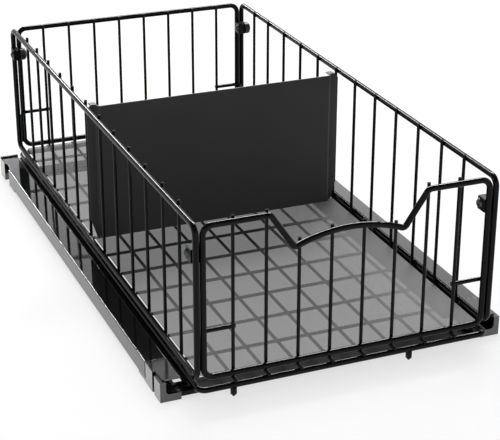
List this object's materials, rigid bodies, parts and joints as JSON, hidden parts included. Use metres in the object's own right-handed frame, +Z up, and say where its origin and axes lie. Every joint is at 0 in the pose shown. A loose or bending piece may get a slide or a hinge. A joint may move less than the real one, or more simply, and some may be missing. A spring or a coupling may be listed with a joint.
{
  "type": "pull out cabinet basket",
  "caption": "Wire basket that pulls out of a cabinet on telescopic slides, with clamped corner panels, a dipped front grip, a translucent floor liner and a lift-out divider.",
  "frame": {"origin": "on the cabinet floor, under the middle of the basket", "axes": "+Z up, +Y towards the back of the cabinet, so the basket pulls out towards -Y; +X to the right seen from the front"},
  "size_m": [0.3004, 0.5411, 0.1557],
  "materials": {
    "black_wire": "gloss black powder coat",
    "liner_plastic": "smoky translucent film",
    "divider_sheet": "matt charcoal powder coat",
    "clamp_plate": "black coated steel",
    "clamp_plastic": "moulded black plastic",
    "dark_screw": "black zinc",
    "slide_steel": "satin black",
    "rivet_steel": "zinc plated",
    "base_steel": "high gloss black coat",
    "cap_plastic": "glossy moulded plastic"
  },
  "bodies": {
    "base": {"left_slide_outer": "slide_steel", "right_slide_outer": "slide_steel", "slide_rivets": "rivet_steel", "left_base_rail": "base_steel", "right_base_rail": "base_steel", "front_crossbar": "base_steel", "rear_crossbar": "base_steel", "front_left_end_cap": "cap_plastic", "front_right_end_cap": "cap_plastic", "rear_left_end_cap": "cap_plastic", "rear_right_end_cap": "cap_plastic"},
    "basket": {"left_side_panel": "black_wire", "right_side_panel": "black_wire", "front_panel": "black_wire", "back_panel": "black_wire", "floor_grid": "black_wire", "front_left_clamp_block": "clamp_plate", "front_right_clamp_block": "clamp_plate", "back_left_clamp_block": "clamp_plate", "back_right_clamp_block": "clamp_plate", "front_left_clamp_knob": "clamp_plastic", "front_right_clamp_knob": "clamp_plastic", "back_left_clamp_knob": "clamp_plastic", "back_right_clamp_knob": "clamp_plastic", "clamp_screws": "dark_screw", "left_slide_inner": "slide_steel", "right_slide_inner": "slide_steel"},
    "left_middle": {"left_slide_middle": "slide_steel"},
    "right_middle": {"right_slide_middle": "slide_steel"},
    "liner": {"floor_liner": "liner_plastic"},
    "divider": {"divider": "divider_sheet"}
  },
  "joints": [
    {"name": "basket_slide", "type": "slide", "parent": "base", "child": "basket", "axis": [0, -1, 0], "range_m": [0, 0.44]},
    {"name": "left_middle_slide", "type": "slide", "parent": "base", "child": "left_middle", "axis": [0, -1, 0], "range_m": [0, 0.22]},
    {"name": "right_middle_slide", "type": "slide", "parent": "base", "child": "right_middle", "axis": [0, -1, 0], "range_m": [0, 0.22]},
    {"name": "liner_lift", "type": "slide", "parent": "basket", "child": "liner", "axis": [0, 0, 1], "range_m": [0, 0.09]},
    {"name": "divider_lift", "type": "slide", "parent": "liner", "child": "divider", "axis": [0, 0, 1], "range_m": [0, 0.15]}
  ],
  "couplings": [
    {"joint": "left_middle_slide", "follows": "basket_slide", "ratio": 0.5},
    {"joint": "right_middle_slide", "follows": "basket_slide", "ratio": 0.5}
  ]
}
